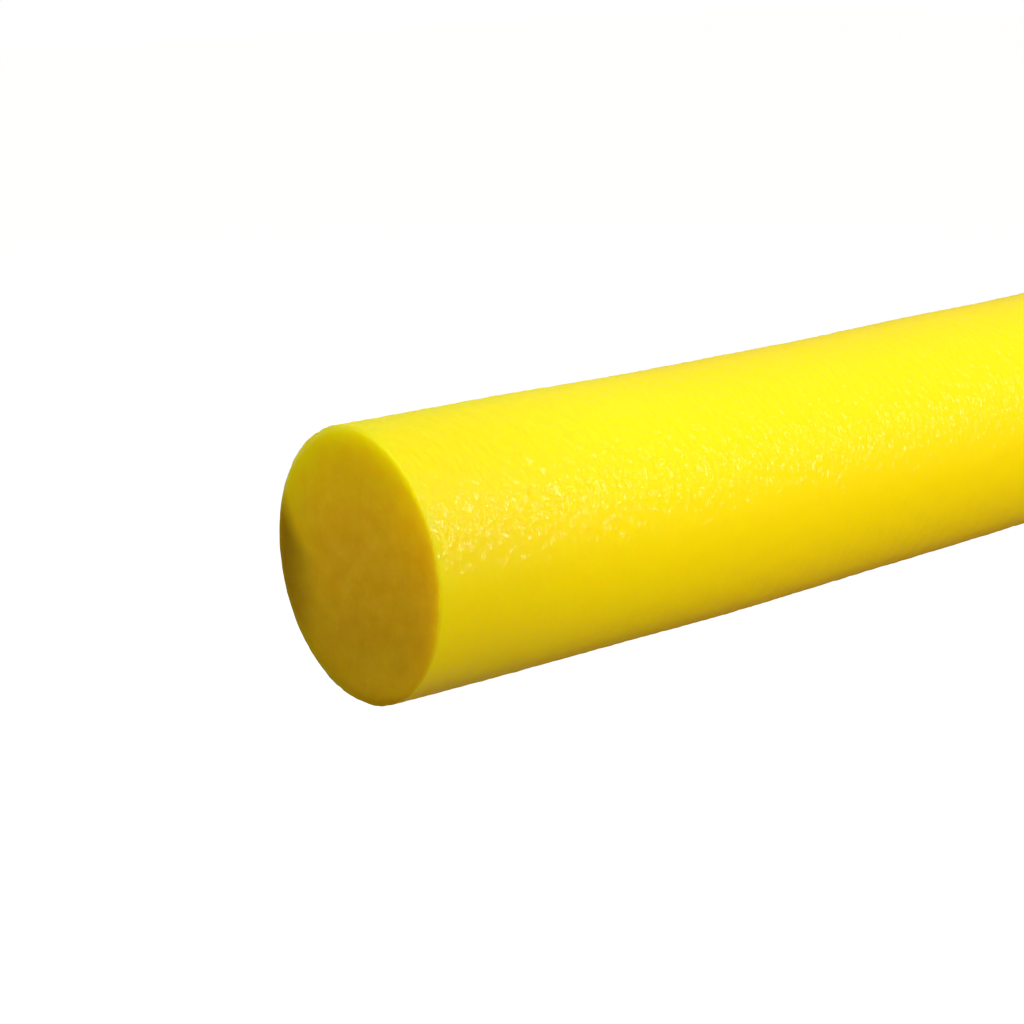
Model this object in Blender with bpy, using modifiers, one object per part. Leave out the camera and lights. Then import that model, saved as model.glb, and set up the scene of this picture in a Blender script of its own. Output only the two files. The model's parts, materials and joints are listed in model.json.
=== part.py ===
"""Pool noodle: a solid rod of closed-cell polyethylene foam, cut square at both ends.

The rod lies along X with its underside on z = 0 and its middle at x = 0, and the end at -X is
the near one. Foam bends at every point of its length. Here it bends where equal lengths of it
meet, turn about: sideways at the first joint, up and down at the next, and so on, so that the
chain can curve any way. Each length hangs on the one before it, with its origin on their joint.
"""

import math

import bmesh
import bpy
from mathutils import Matrix, Vector

MM = 0.001

NOODLE_DIAMETER = 65 * MM
NOODLE_LENGTH = 1600 * MM
CUT_RIM_RADIUS = 3 * MM
REST_FLAT_DEPTH = 0.5 * MM
SECTION_GAP = 0.3 * MM

SECTION_COUNT = 16
SKIN_SIDES = 48
RIM_SEGMENTS = 3

SKIN_COLOUR = (0.93, 0.80, 0.02, 1.0)
CUT_COLOUR = (0.48, 0.26, 0.01, 1.0)
SKIN_ROUGHNESS = 0.42
CUT_ROUGHNESS = 0.85

radius = NOODLE_DIAMETER / 2
axis_height = radius - REST_FLAT_DEPTH
section_pitch = NOODLE_LENGTH / SECTION_COUNT
half_gap = SECTION_GAP / 2

DOWN = Vector((0, 0, -1))
QUARTER_TURN = math.pi / 2
NEAR_SIDE, NO_SIDE, FAR_SIDE = -1, 0, 1
SKIN_SLOT, CUT_SLOT = 0, 1


def clear_scene():
    """Start from an empty scene."""
    for obj in list(bpy.data.objects):
        bpy.data.objects.remove(obj, do_unlink=True)


def make_collection(name):
    """A collection in the scene for the finished pieces."""
    collection = bpy.data.collections.new(name)
    bpy.context.scene.collection.children.link(collection)
    return collection


def make_foam(name, colour, roughness):
    """Foam of one colour. The extruded skin is smoother than a cut through the cells."""
    material = bpy.data.materials.new(name)
    material.use_nodes = True
    shader = material.node_tree.nodes["Principled BSDF"]
    shader.inputs["Base Color"].default_value = colour
    shader.inputs["Roughness"].default_value = roughness
    shader.inputs["Metallic"].default_value = 0.0
    return material


def press_rest_flat(bm):
    """Flatten the underside, as foam does under its own weight, so that the rod can't roll."""
    bmesh.ops.bisect_plane(
        bm,
        geom=bm.verts[:] + bm.edges[:] + bm.faces[:],
        plane_co=DOWN * axis_height,
        plane_no=DOWN,
        clear_outer=True,
    )
    bmesh.ops.holes_fill(bm, edges=[edge for edge in bm.edges if edge.is_boundary])
    bmesh.ops.recalc_face_normals(bm, faces=bm.faces)


def finish_ends(bm, cut_side):
    """Show cut foam at both ends, weigh the rim that is rounded, and keep the other crisp."""
    weight = bm.edges.layers.float.new("bevel_weight_edge")
    for face in bm.faces:
        face.smooth = True
        if abs(face.normal.x) < 0.5:
            continue
        face.material_index = CUT_SLOT
        rounded = face.normal.x * cut_side > 0
        for edge in face.edges:
            edge[weight] = 1.0 if rounded else 0.0
            edge.smooth = rounded


def make_section_mesh(name, start, end, cut_side, foams):
    """A length of the rod from start to end along X, round but for the flat underneath."""
    bm = bmesh.new()
    middle = Matrix.Translation(((start + end) / 2, 0, 0))
    bmesh.ops.create_cone(
        bm,
        cap_ends=True,
        segments=SKIN_SIDES,
        radius1=radius,
        radius2=radius,
        depth=end - start,
        matrix=middle @ Matrix.Rotation(QUARTER_TURN, 4, "Y"),
    )
    press_rest_flat(bm)
    finish_ends(bm, cut_side)
    mesh = bpy.data.meshes.new(name)
    bm.to_mesh(mesh)
    bm.free()
    for foam in foams:
        mesh.materials.append(foam)
    return mesh


def round_cut_rim(section):
    """The saw leaves a soft edge round the noodle's own ends."""
    rim = section.modifiers.new("cut_rim", "BEVEL")
    rim.limit_method = "WEIGHT"
    rim.width = CUT_RIM_RADIUS
    rim.segments = RIM_SEGMENTS


def build_noodle():
    """The lengths of foam in a chain, from the near end to the far end."""
    collection = make_collection("pool_noodle")
    foams = (
        make_foam("foam_skin", SKIN_COLOUR, SKIN_ROUGHNESS),
        make_foam("foam_cut", CUT_COLOUR, CUT_ROUGHNESS),
    )
    near_end = make_section_mesh("near_end", 0, section_pitch - half_gap, NEAR_SIDE, foams)
    between = make_section_mesh("between", half_gap, section_pitch - half_gap, NO_SIDE, foams)
    far_end = make_section_mesh("far_end", half_gap, section_pitch, FAR_SIDE, foams)

    before = None
    for number in range(1, SECTION_COUNT + 1):
        mesh = {1: near_end, SECTION_COUNT: far_end}.get(number, between)
        section = bpy.data.objects.new(f"foam_section_{number:02d}", mesh)
        collection.objects.link(section)
        if before:
            section.parent = before
            section.location = (section_pitch, 0, 0)
        else:
            section.location = (-NOODLE_LENGTH / 2, 0, axis_height)
        if mesh is not between:
            round_cut_rim(section)
        before = section


clear_scene()
build_noodle()
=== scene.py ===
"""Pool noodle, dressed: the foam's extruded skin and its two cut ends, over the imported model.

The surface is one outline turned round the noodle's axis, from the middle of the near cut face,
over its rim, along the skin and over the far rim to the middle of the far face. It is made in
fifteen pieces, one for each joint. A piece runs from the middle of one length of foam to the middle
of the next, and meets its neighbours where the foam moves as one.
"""

import json
import math

import bpy
import numpy as np
from mathutils import Matrix, Vector

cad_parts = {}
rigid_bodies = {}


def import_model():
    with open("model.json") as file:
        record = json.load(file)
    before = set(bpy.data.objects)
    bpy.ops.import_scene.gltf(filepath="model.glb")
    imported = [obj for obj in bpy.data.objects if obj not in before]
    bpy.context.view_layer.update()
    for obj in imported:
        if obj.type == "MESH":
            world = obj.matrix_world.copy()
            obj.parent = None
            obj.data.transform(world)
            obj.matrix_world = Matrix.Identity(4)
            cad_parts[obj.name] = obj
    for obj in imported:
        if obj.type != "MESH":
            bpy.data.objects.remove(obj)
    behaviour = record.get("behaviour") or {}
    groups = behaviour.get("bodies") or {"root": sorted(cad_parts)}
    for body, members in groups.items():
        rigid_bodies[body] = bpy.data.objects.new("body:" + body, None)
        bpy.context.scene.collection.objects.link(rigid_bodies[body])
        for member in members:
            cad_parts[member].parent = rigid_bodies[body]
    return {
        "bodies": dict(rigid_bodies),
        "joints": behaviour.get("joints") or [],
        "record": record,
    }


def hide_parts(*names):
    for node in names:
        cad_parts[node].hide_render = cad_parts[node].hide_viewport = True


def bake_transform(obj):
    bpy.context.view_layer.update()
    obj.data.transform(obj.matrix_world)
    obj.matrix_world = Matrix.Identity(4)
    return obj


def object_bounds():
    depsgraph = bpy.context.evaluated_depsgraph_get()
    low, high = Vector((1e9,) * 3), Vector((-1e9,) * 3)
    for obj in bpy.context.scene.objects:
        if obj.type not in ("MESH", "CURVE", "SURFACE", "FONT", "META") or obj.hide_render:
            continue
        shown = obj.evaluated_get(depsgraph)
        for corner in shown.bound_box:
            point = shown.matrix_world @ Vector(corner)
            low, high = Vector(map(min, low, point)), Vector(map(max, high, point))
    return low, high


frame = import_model()
cad_low, cad_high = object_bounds()

MM = 0.001
QUARTER_TURN = math.pi / 2
FULL_TURN = math.pi * 2

# The noodle's own sizes, as packed
bodies = list(frame["bodies"])
sections = [frame["record"]["behaviour"]["bodies"][body][0] for body in bodies]
joint_places = [joint["pos_m"][0] for joint in frame["joints"]]
near_face = cad_low.x
length = cad_high.x - cad_low.x
radius = (cad_high.y - cad_low.y) / 2
axis_height = cad_high.z - radius
half_section = (joint_places[1] - joint_places[0]) / 2

# The rims of the cut faces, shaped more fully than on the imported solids. CUT_RIM sets where a face
# ends and the skin starts along the outline
CUT_RIM = 4.0 * MM
# Where a rim is crisp and where it is round: width over the face, depth along the skin, roundness
CRISP_RIM = np.array([2.0 * MM, 1.4 * MM, 0.45])
ROUND_RIM = np.array([13.0 * MM, 1.9 * MM, 1.0])
# Roundest at this angle, counted from +Y over the top as all angles round the noodle are here. The
# rim turns from crisp to round between these cosines of the angle away from it
ROUND_RIM_AT = math.radians(-5)
ROUND_RIM_SPREAD = (-1, 0.6)
# A rim is shallower than CUT_RIM, and the skin makes that up over this length
RIM_SETTLES_IN = 60 * MM

# Marks on the cut faces. A pair says where a mark is nothing and where it is full. How far the
# surface leans is 0 on the skin and 1 on a face, and SHARE is a share of the radius
CUT_LEAN = (0.42, 0.62)
# Painted light: the skin's brighter colour is painted round the rim of each face, where light soaks
# in through the lit skin, widest at this angle on the upper side
RIM_GLOW_AT = math.radians(60)
RIM_GLOW_SPREAD = (-0.9, 0.9)
THINNEST_RIM_GLOW = 0.3
RIM_GLOW_THINS_INWARDS = 2.2
# Painted shade: a dark crescent on each cut face, on the side turned away from the lamps. In radians
# past its angle, the crescent grows over the first pair and ends over the second, which slants with
# the share of the radius
SHADE_CRESCENT_AT = math.radians(-5)
SHADE_CRESCENT_DEPTH = 0.88
SHADE_CRESCENT_GROWS = (-1.5, -0.1)
SHADE_CRESCENT_ENDS = (0.6, 0.2)
SHADE_CRESCENT_SLANT = 0.8
SHADE_CRESCENT_SLANTS_FROM = 0.9
SHADE_CRESCENT_SHARE = (0.15, 0.92)
FACE_SHADE_LEAN = (0, 0.25)
# Painted shade darkens the middle of a face by this share, and nothing from this share of the
# radius up. Below the middle it deepens until it is 1.9 times as much
LOW_SHADE = 0.2
UNSHADED_AT = 0.62
LOW_SHADE_DEEPEST = -0.9

# Shares of a full gloss: the skin is duller underneath, where it cooled on rollers. Towards the
# ends, a painted shade deepens its colour, and hands have polished its sides and worn the sheen off
# the top. Heights are shares of the radius above the middle
SHINY_GLOSS = 0.28
DULL_GLOSS = 0.06
SHINY_HEIGHT = (-0.1, 0.4)
END_POLISH = 1.45
TOP_WEAR = 0.7
WORN_HEIGHT = (0.6, 0.9)
END_SHADE_AND_POLISH_REACH = 80 * MM
END_SHADE_AND_POLISH_LEAN = (0.5, 0.1)

# The noodle isn't quite straight: shallow bows of this length, and their depths
BOW_LENGTH = 234 * MM
BOW_DIP = 1.07 * MM
BOW_SWAY = 0.40 * MM

# Relief of the foam, layer by layer: spacing along the noodle and round it, then height
OUT_OF_ROUND = (70 * MM, 90 * MM, 0.10 * MM)
DIMPLES = (6 * MM, 8 * MM, 0.025 * MM)
PEBBLES = (2.2 * MM, 3.0 * MM, 0.045 * MM)
SAW_WAVES = (40 * MM, 24 * MM, 0.12 * MM)
CUT_DIMPLES = (6 * MM, 4 * MM, 0.030 * MM)
# Between these leans, the relief of a cut gives way to that of the skin
SKIN_LEAN = (0.9, 0.2)
# A layer is a sum of plane waves, whose paces differ by these shares. Its random numbers come from
# a seed, counted up from these for the layers of the skin and of a cut
WAVES_IN_LAYER = 36
WAVE_PACES = (0.8, 1.25)
SKIN_SEED = 11
CUT_SEED = 31

# Mesh steps along and round: fine at the end that is seen closest
FINE_STEP = (0.5 * MM, 0.8 * MM)
COARSE_STEP = (0.9 * MM, 1.2 * MM)
FINE_PIECES = 2
NORMAL_STEP = 0.1 * MM

# Light soaks into the foam from a cut end: fully up to the first distance, not past the second
SOAKED = (20 * MM, 110 * MM)

# Distances down the outline: over a face, round its rim, over both, and from end to end
flat_run = radius - CUT_RIM
rim_run = QUARTER_TURN * CUT_RIM
end_run = flat_run + rim_run
whole_travel = 2 * end_run + length - 2 * CUT_RIM


def linear(hex_colour):
    """An sRGB hex colour as linear RGBA."""
    channels = [int(hex_colour[i:i + 2], 16) / 255 for i in (1, 3, 5)]
    return [c / 12.92 if c <= 0.04045 else ((c + 0.055) / 1.055) ** 2.4 for c in channels] + [1.0]


def ease(value, low, high):
    """0 at low, 1 at high, a smooth turn between them and level beyond. low may be above high."""
    share = np.clip((value - low) / (high - low), 0, 1)
    return share * share * (3 - 2 * share)


def ripples(points, spacing_along, spacing_round, seed):
    """A smooth random height of about 1: plane waves whose crests lie about the spacings apart."""
    chance = np.random.default_rng(seed)
    headings = chance.normal(size=(WAVES_IN_LAYER, 3))
    headings /= np.linalg.norm(headings, axis=1)[:, None]
    paces = chance.uniform(*WAVE_PACES, WAVES_IN_LAYER) * FULL_TURN
    starts = chance.uniform(0, FULL_TURN, WAVES_IN_LAYER)
    scaled = points / np.array([spacing_along, spacing_round, spacing_round])
    total = np.zeros(points.shape[:-1])
    for heading, pace, start in zip(headings, paces, starts):
        total += np.cos(scaled @ heading * pace + start)
    return total * math.sqrt(2 / WAVES_IN_LAYER)


def relief(points, layers, first_seed):
    """The height of all the layers together."""
    return sum(height * ripples(points, along, around, seed)
               for seed, (along, around, height) in enumerate(layers, first_seed))


def outline(travel, around):
    """Reach along the axis, distance from it, and how far the surface leans along and out.
    The rim is crisp on the -Y side, where the saw went in, and round where it came out."""
    past_middle = travel > whole_travel / 2
    run = np.where(past_middle, whole_travel - travel, travel)
    turn = np.clip((run - flat_run) / rim_run, 0, 1) * QUARTER_TURN
    round_share = ease(np.cos(around - ROUND_RIM_AT), *ROUND_RIM_SPREAD)[..., None]
    width, depth, roundness = np.moveaxis(CRISP_RIM + (ROUND_RIM - CRISP_RIM) * round_share, -1, 0)
    off_axis = np.clip(run / flat_run, 0, 1) * (radius - width)
    off_axis = off_axis + width * np.sin(turn) ** roundness
    past_rim = np.clip(run - end_run, 0, None)
    settled = ease(past_rim, 0, RIM_SETTLES_IN)
    reach = depth * (1 - np.cos(turn) ** roundness) + past_rim + (CUT_RIM - depth) * settled
    reach = np.where(past_middle, length - reach, reach)
    lean_along = np.where(past_middle, np.cos(turn), -np.cos(turn))
    return reach, off_axis, lean_along, np.sin(turn)


def bow(reach):
    """The line of the noodle: shallow bows, turn about, as share of their depth, and its slope."""
    place = reach / BOW_LENGTH
    share = place - np.floor(place)
    side = np.where(np.floor(place) % 2 == 0, -1, 1)
    return side * 4 * share * (1 - share), side * 4 * (1 - 2 * share) / BOW_LENGTH


def unbent(travel, around):
    """Points of a perfect round rod with rounded rims, and the way out of its surface."""
    reach, off_axis, lean_along, lean_out = outline(travel, around)
    across, up = np.cos(around), np.sin(around)
    points = np.stack([reach, off_axis * across, off_axis * up], axis=-1)
    outward = np.stack([lean_along, lean_out * across, lean_out * up], axis=-1)
    return points, outward


def surface(travel, around, pebbled=True):
    """Points of the foam's surface, in metres, in the model's frame."""
    points, outward = unbent(travel, around)
    skin = ease(np.abs(outward[..., 0]), *SKIN_LEAN)
    skin_layers = (OUT_OF_ROUND, DIMPLES, PEBBLES) if pebbled else (OUT_OF_ROUND, DIMPLES)
    height = skin * relief(points, skin_layers, SKIN_SEED)
    height += (1 - skin) * relief(points, (SAW_WAVES, CUT_DIMPLES), CUT_SEED)
    points = points + outward * height[..., None]
    points[..., 2] = np.maximum(points[..., 2], -axis_height)
    share, slope = bow(points[..., 0])
    tip = points[..., 1] * slope * BOW_SWAY + points[..., 2] * slope * BOW_DIP
    points[..., 0] += near_face - tip
    points[..., 1] += share * BOW_SWAY
    points[..., 2] += share * BOW_DIP + axis_height
    return points


def surface_normals(travel, around):
    """The way out of the surface, from points a small step away on each side. Pebbles are left to
    the gloss, because light that soaks into foam comes out too evenly to show them."""
    turn_step = NORMAL_STEP / radius
    before, after, left, right = (surface(travel + a, around + b, pebbled=False) for a, b in (
        (-NORMAL_STEP, 0), (NORMAL_STEP, 0), (0, -turn_step), (0, turn_step)))
    down = after - before
    over = right - left
    normals = np.cross(over, down)
    return normals / np.linalg.norm(normals, axis=-1)[..., None]


def travel_at(place):
    """Travel down the outline to a place along X on the skin."""
    return place - near_face - CUT_RIM + end_run


def closed_tube(name, travel, around, joins_before, joins_after):
    """A mesh of quads over a grid of places on the noodle, closed at each end by a fan."""
    rings, sides = travel.shape
    points = surface(travel, around).reshape(-1, 3)
    normals = surface_normals(travel, around).reshape(-1, 3)

    ring, side = np.meshgrid(np.arange(rings - 1) * sides, np.arange(sides), indexing="ij")
    after = (side + 1) % sides
    corners = [ring + side, ring + after, ring + sides + after, ring + sides + side]
    quads = np.stack(corners, axis=-1)
    last = (rings - 1) * sides
    first_hub, last_hub = rings * sides, rings * sides + 1
    turn = range(sides)
    near_fan = [(first_hub, (s + 1) % sides, s) for s in turn]
    far_fan = [(last_hub, last + s, last + (s + 1) % sides) for s in turn]
    hubs = [points[:sides].mean(axis=0), points[last:].mean(axis=0)]

    mesh = bpy.data.meshes.new(name)
    faces = quads.reshape(-1, 4).tolist() + near_fan + far_fan
    mesh.from_pydata(np.vstack([points, hubs]).tolist(), [], faces)
    mesh.shade_smooth()
    corner_points = np.empty(len(mesh.loops), np.int32)
    mesh.loops.foreach_get("vertex_index", corner_points)
    ways = np.vstack([normals, [(-1, 0, 0), (1, 0, 0)]])[corner_points]
    # An end that joins a neighbour is flat, and hidden inside the foam
    skin_corners = quads.size
    fan_corners = 3 * sides
    if joins_before:
        ways[skin_corners:skin_corners + fan_corners] = (-1, 0, 0)
    if joins_after:
        ways[skin_corners + fan_corners:] = (1, 0, 0)
    mesh.normals_split_custom_set(ways.tolist())
    return mesh


def face_shade_share(angle, share, height, lean):
    """How much painted shade darkens a face: the crescent, or the shade low on the face where that is
    more.
    """
    past_shade_crescent = (angle - SHADE_CRESCENT_AT + math.pi) % FULL_TURN - math.pi
    slanted = past_shade_crescent + SHADE_CRESCENT_SLANT * (SHADE_CRESCENT_SLANTS_FROM - share)
    face_shade = ease(past_shade_crescent, *SHADE_CRESCENT_GROWS) * ease(slanted, *SHADE_CRESCENT_ENDS)
    face_shade *= SHADE_CRESCENT_DEPTH * ease(share, *SHADE_CRESCENT_SHARE)
    low_shade = LOW_SHADE * (1 - np.clip(height / (radius * UNSHADED_AT), LOW_SHADE_DEEPEST, 1))
    return np.maximum(face_shade, low_shade) * ease(lean, *FACE_SHADE_LEAN)


def mark_foam(mesh, travel, around, joins_before, joins_after):
    """What the material reads at each point: its place on the straight rod, and shares from 0 to 1
    of what has been done to the foam there and of the light and shade painted on it."""
    rest, outward = (part.reshape(-1, 3) for part in unbent(travel, around))
    rest = np.vstack([rest, [(rest[0, 0], 0, 0), (rest[-1, 0], 0, 0)]])
    lean = np.append(np.abs(outward[:, 0]), [not joins_before, not joins_after])
    angle = np.append(around.ravel(), [0, 0])
    share = np.hypot(rest[:, 1], rest[:, 2]) / radius
    height = rest[:, 2]
    to_end = np.minimum(rest[:, 0], length - rest[:, 0])

    # Painted light: the brighter skin colour is painted round the rim of each face
    rim_glow = ease(np.cos(angle - RIM_GLOW_AT), *RIM_GLOW_SPREAD)
    rim_glow = (THINNEST_RIM_GLOW + (1 - THINNEST_RIM_GLOW) * rim_glow) * share ** RIM_GLOW_THINS_INWARDS
    on_face = ease(lean, *CUT_LEAN)
    # Painted shade on the cut faces, which also takes the gloss off where it lies
    face_shade = face_shade_share(angle, share, height, lean)
    # Painted shade that deepens the skin towards each end; the same share polishes the sides
    end_shade_and_polish = (1 - ease(to_end, 0, END_SHADE_AND_POLISH_REACH)) * ease(lean, *END_SHADE_AND_POLISH_LEAN)
    gloss = DULL_GLOSS + (SHINY_GLOSS - DULL_GLOSS) * ease(height / radius, *SHINY_HEIGHT)
    gloss = gloss * (1 - on_face) * (1 - face_shade)
    polish = END_POLISH + (TOP_WEAR - END_POLISH) * ease(height / radius, *WORN_HEIGHT)
    gloss *= 1 + (polish - 1) * end_shade_and_polish

    mesh.attributes.new("rest", "FLOAT_VECTOR", "POINT").data.foreach_set("vector", rest.ravel())
    marks = {"cut": on_face * (1 - rim_glow), "face_shade": face_shade, "soak": 1 - ease(to_end, *SOAKED),
             "end_shade_and_polish": end_shade_and_polish, "gloss": gloss}
    for name, values in marks.items():
        mesh.attributes.new(name, "FLOAT", "POINT").data.foreach_set("value", values)


def make_length(name, start, end, step, foam):
    """One closed piece of the noodle between two travels down its outline."""
    step_along, step_round = step
    ring_count = round((end - start) / step_along)
    sides = round(FULL_TURN * radius / step_round / 4) * 4
    travels = np.linspace(start, end, ring_count + 1)
    joins_before, joins_after = start > 0, end < whole_travel
    # The middle of a cut face is the hub of its fan, not a ring
    if not joins_before:
        travels = travels[1:]
    if not joins_after:
        travels = travels[:-1]
    angles = np.arange(sides) * FULL_TURN / sides
    travel, around = np.meshgrid(travels, angles, indexing="ij")
    mesh = closed_tube(name, travel, around, joins_before, joins_after)
    mark_foam(mesh, travel, around, joins_before, joins_after)
    mesh.materials.append(foam)
    piece = bpy.data.objects.new(name, mesh)
    bpy.context.scene.collection.objects.link(piece)
    return piece


def add(tree, kind, inputs=(), **settings):
    """Add a node with its settings. An input is a value, or the socket that it is linked to."""
    node = tree.nodes.new(kind)
    for name, value in settings.items():
        setattr(node, name, value)
    for name, value in dict(inputs).items():
        if isinstance(value, bpy.types.NodeSocket):
            tree.links.new(value, node.inputs[name])
        else:
            node.inputs[name].default_value = value
    return node


def new_material(name):
    """An empty node material and its output node."""
    material = bpy.data.materials.new(name)
    material.use_nodes = True
    material.node_tree.nodes.clear()
    return material, material.node_tree, add(material.node_tree, "ShaderNodeOutputMaterial")


def extruded_polyethylene_foam():
    """Closed-cell polyethylene foam, extruded and then cut. The extruded skin has a soft sheen, broken
    into glints by pebbles that are longer round the rod than along it. A cut through the cells is
    matt and deeper in colour."""
    foam, tree, output = new_material("extruded_polyethylene_foam")
    rest = add(tree, "ShaderNodeAttribute", attribute_name="rest").outputs["Vector"]
    cut, face_shade, soak, gloss, end_shade_and_polish = (
        add(tree, "ShaderNodeAttribute", attribute_name=name).outputs["Fac"]
        for name in ("cut", "face_shade", "soak", "gloss", "end_shade_and_polish"))

    # The skin's pebbles lie about 2 mm apart along the rod and 3 mm round it
    pebble_place = add(tree, "ShaderNodeMapping", {
        "Vector": rest, "Scale": (1 / (1.9 * MM), 1 / (2.6 * MM), 1 / (2.6 * MM))}).outputs["Vector"]
    pebbles = add(tree, "ShaderNodeTexNoise", {
        "Vector": pebble_place, "Scale": 1.0, "Detail": 1.0, "Roughness": 0.4}).outputs["Fac"]
    # The cells that a cut opens are 0.5 to 1 mm wide, drawn 1.4 mm wide so that they show
    cell_place = add(tree, "ShaderNodeMapping", {
        "Vector": rest, "Scale": (1 / (1.4 * MM),) * 3}).outputs["Vector"]
    cells = add(tree, "ShaderNodeTexNoise", {
        "Vector": cell_place, "Scale": 1.0, "Detail": 2.0}).outputs["Fac"]
    # Density drifts over about 5 mm
    drift_place = add(tree, "ShaderNodeMapping", {
        "Vector": rest, "Scale": (1 / (5 * MM),) * 3}).outputs["Vector"]
    drift = add(tree, "ShaderNodeTexNoise", {
        "Vector": drift_place, "Scale": 1.0, "Detail": 2.0}).outputs["Fac"]

    # A Mix node's sockets 2 and 3 take numbers, and 6 and 7 colours. The skin is lemon yellow, with a
    # painted shade that deepens it towards the ends
    skin_colour = add(tree, "ShaderNodeMix", {
        "Factor": drift, 6: linear("#FBE504"), 7: linear("#FDE706")}, data_type="RGBA").outputs[2]
    skin_colour = add(tree, "ShaderNodeMix", {
        "Factor": end_shade_and_polish, 6: skin_colour, 7: linear("#E8D804")}, data_type="RGBA").outputs[2]
    # The cut shows the inside of the foam, faintly mottled by its density and its cells
    mottle = add(tree, "ShaderNodeMix", {"Factor": 0.25, 2: drift, 3: cells}).outputs[0]
    mottle = add(tree, "ShaderNodeMapRange", {
        "Value": mottle, "From Min": 0.35, "From Max": 0.65}).outputs["Result"]
    cut_colour = add(tree, "ShaderNodeMix", {
        "Factor": mottle, 6: linear("#F6C11E"), 7: linear("#FFD127")}, data_type="RGBA").outputs[2]
    # Painted highlights: here and there a torn cell is painted paler, as if it caught the light
    speck_highlights = add(tree, "ShaderNodeMapRange", {
        "Value": cells, "From Min": 0.66, "From Max": 0.74, "To Max": 0.4}).outputs["Result"]
    cut_colour = add(tree, "ShaderNodeMix", {
        "Factor": speck_highlights, 6: cut_colour, 7: linear("#FFDD60")}, data_type="RGBA").outputs[2]
    colour = add(tree, "ShaderNodeMix", {
        "Factor": cut, 6: skin_colour, 7: cut_colour}, data_type="RGBA").outputs[2]
    # Painted shade: the crescent and the lower half of a face are darkened towards deep ochre
    colour = add(tree, "ShaderNodeMix", {
        "Factor": face_shade, 6: colour, 7: linear("#8C6A14")}, data_type="RGBA").outputs[2]

    # The gloss follows the pebbles in full. Light that soaks into the foam comes out more evenly,
    # so the colour shows them only faintly
    relief_height = add(tree, "ShaderNodeMix", {"Factor": cut, 2: pebbles, 3: cells}).outputs[0]
    soft_bump = add(tree, "ShaderNodeBump", {
        "Height": relief_height, "Distance": 0.08 * MM, "Strength": 1.0}).outputs["Normal"]
    gloss_bump = add(tree, "ShaderNodeBump", {
        "Height": relief_height, "Distance": 1.5 * MM, "Strength": 1.0}).outputs["Normal"]
    # Red light soaks in farther than green, and blue hardly at all
    shader = add(tree, "ShaderNodeBsdfPrincipled", {
        "Base Color": colour, "Roughness": 0.8, "Specular IOR Level": 0.0, "Normal": soft_bump,
        "Subsurface Weight": soak, "Subsurface Radius": (1.5, 0.9, 0.06),
        "Subsurface Scale": 9 * MM, "Coat Weight": gloss, "Coat Roughness": 0.29,
        "Coat IOR": 1.5, "Coat Normal": gloss_bump}).outputs["BSDF"]
    tree.links.new(shader, output.inputs["Surface"])
    return foam


def dress_noodle(foam):
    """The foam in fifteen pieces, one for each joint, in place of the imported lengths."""
    seams = [travel_at(place + half_section) for place in joint_places]
    starts = [0.0] + seams[:-1]
    ends = seams[:-1] + [whole_travel]
    for number, (start, end, place) in enumerate(zip(starts, ends, joint_places), 1):
        step = FINE_STEP if number <= FINE_PIECES else COARSE_STEP
        piece = make_length(f"foam_length_{number:02d}", start, end, step, foam)
        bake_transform(piece)
        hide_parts(sections[number - 1], sections[number])


# The studio, in metres. The floor is below the noodle's lowest bend
FLOOR_DROP = 0.85
FLOOR_WIDTH = 30.0
# The light that the foam gets from the floor, and from the room around
LIGHT_FROM_BELOW = "#7C634B"
LIGHT_FROM_AROUND = "#615B53"
# Soft boxes: name, place, the point it faces, width, height, level and colour
SOFT_BOXES = (
    ("overhead_softbox", (-0.7, 0.0, 1.6), (-0.7, 0, 0), 2.4, 1.2, 0.44, "#FFFFFF"),
    ("side_softbox", (0.73, -2.2, 1.45), (-0.7, 0, 0.03), 0.32, 0.32, 0.52, "#FFFFFF"),
    ("near_softbox", (-1.18, -2.16, 1.04), (-0.78, 0, 0.03), 0.5, 0.5, 0.30, "#FFF8EE"),
    ("low_softbox", (0.0, -1.6, -0.5), (-0.5, 0, 0.03), 1.4, 0.8, 0.18, "#FFCCA0"),
    ("end_softbox", (-2.0, 0.1, 1.2), (-0.8, 0, 0.03), 0.8, 0.8, 0.33, "#FFFFFF"),
)
# The camera: its lens in millimetres, its place from the middle of the near cut face and its angles
# in degrees
CAMERA_LENS = 77.76
CAMERA_FROM_FACE = Vector((-274.75, -394.86, 144.99)) * MM
CAMERA_HEADING = 50.82
CAMERA_DOWN = 15.45
CAMERA_ROLL = 0.85
CAMERA_CLIP = 0.01


def seen_directly(tree):
    """1 for rays that meet plain white: from the camera, off a gloss or through glass."""
    path = add(tree, "ShaderNodeLightPath").outputs
    either = add(tree, "ShaderNodeMath", {0: path["Is Camera Ray"], 1: path["Is Glossy Ray"]},
                 operation="MAXIMUM").outputs[0]
    return add(tree, "ShaderNodeMath", {0: either, 1: path["Is Transmission Ray"]},
               operation="MAXIMUM").outputs[0]


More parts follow.
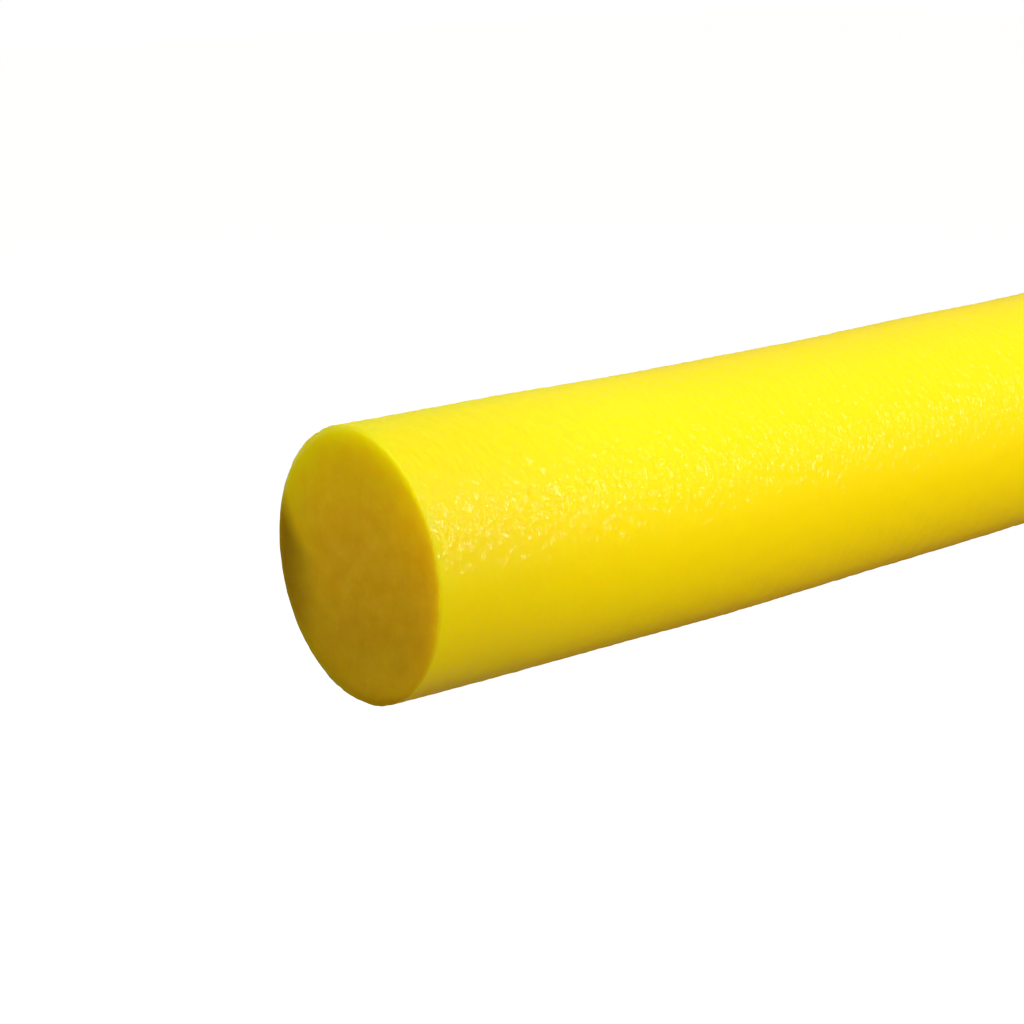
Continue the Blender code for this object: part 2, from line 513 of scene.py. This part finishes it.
def white_studio(from_below, from_around):
    """A white floor below the noodle's lowest bend, and a white world. Both light the foam mildly,
    in the colours given."""
    card, tree, output = new_material("white_card")
    seen = seen_directly(tree)
    white = add(tree, "ShaderNodeBsdfPrincipled", {
        "Base Color": linear("#F5F5F5"), "Roughness": 0.9, "Specular IOR Level": 0.0,
        "Emission Color": linear("#FFFFFF"), "Emission Strength": 0.9}).outputs[0]
    dim = add(tree, "ShaderNodeEmission", {"Color": linear(from_below)}).outputs[0]
    mix = add(tree, "ShaderNodeMixShader", {"Fac": seen, 1: dim, 2: white}).outputs[0]
    tree.links.new(mix, output.inputs["Surface"])

    half = FLOOR_WIDTH / 2
    floor_mesh = bpy.data.meshes.new("floor")
    corners = [(-half, -half, -FLOOR_DROP), (half, -half, -FLOOR_DROP),
               (half, half, -FLOOR_DROP), (-half, half, -FLOOR_DROP)]
    floor_mesh.from_pydata(corners, [], [(0, 1, 2, 3)])
    floor_mesh.materials.append(card)
    floor = bpy.data.objects.new("floor", floor_mesh)
    bpy.context.scene.collection.objects.link(floor)

    world = bpy.data.worlds.new("white_world")
    world.use_nodes = True
    tree = world.node_tree
    tree.nodes.clear()
    seen = seen_directly(tree)
    dim = add(tree, "ShaderNodeBackground", {"Color": linear(from_around)}).outputs[0]
    white = add(tree, "ShaderNodeBackground", {"Color": linear("#FFFFFF")}).outputs[0]
    mix = add(tree, "ShaderNodeMixShader", {"Fac": seen, 1: dim, 2: white}).outputs[0]
    output = add(tree, "ShaderNodeOutputWorld")
    tree.links.new(mix, output.inputs["Surface"])
    bpy.context.scene.world = world


def hang_lamp(name, place, aim, width, height, level, colour):
    """A soft box. Its level is what it adds to white card square to it, where 1 shows as white."""
    way = Vector(aim) - Vector(place)
    lamp = bpy.data.lights.new(name, "AREA")
    lamp.shape = "RECTANGLE"
    lamp.size = width
    lamp.size_y = height
    lamp.energy = level * (math.pi * way.length) ** 2
    lamp.color = linear(colour)[:3]
    box = bpy.data.objects.new(name, lamp)
    box.location = place
    box.rotation_euler = way.to_track_quat("-Z", "Y").to_euler()
    box.visible_camera = False
    bpy.context.scene.collection.objects.link(box)


def place_camera():
    """The photograph's viewpoint: close to the near cut face, to one side and a little above."""
    heading, down, roll = (math.radians(a) for a in (CAMERA_HEADING, CAMERA_DOWN, CAMERA_ROLL))
    forward = Vector((math.cos(heading) * math.cos(down), math.sin(heading) * math.cos(down),
                      -math.sin(down)))
    level_right = forward.cross(Vector((0, 0, 1))).normalized()
    level_up = level_right.cross(forward)
    right = level_right * math.cos(roll) - level_up * math.sin(roll)
    up = right.cross(forward)
    camera = bpy.data.objects.new("camera", bpy.data.cameras.new("camera"))
    camera.data.lens = CAMERA_LENS
    camera.data.clip_start = CAMERA_CLIP
    turn = Matrix((right, up, -forward)).transposed().to_4x4()
    face_centre = Vector((near_face, 0, axis_height))
    camera.matrix_world = Matrix.Translation(face_centre + CAMERA_FROM_FACE) @ turn
    bpy.context.scene.collection.objects.link(camera)
    bpy.context.scene.camera = camera


dress_noodle(extruded_polyethylene_foam())
white_studio(LIGHT_FROM_BELOW, LIGHT_FROM_AROUND)
for soft_box in SOFT_BOXES:
    hang_lamp(*soft_box)
place_camera()
bpy.context.scene.view_settings.view_transform = "Standard"
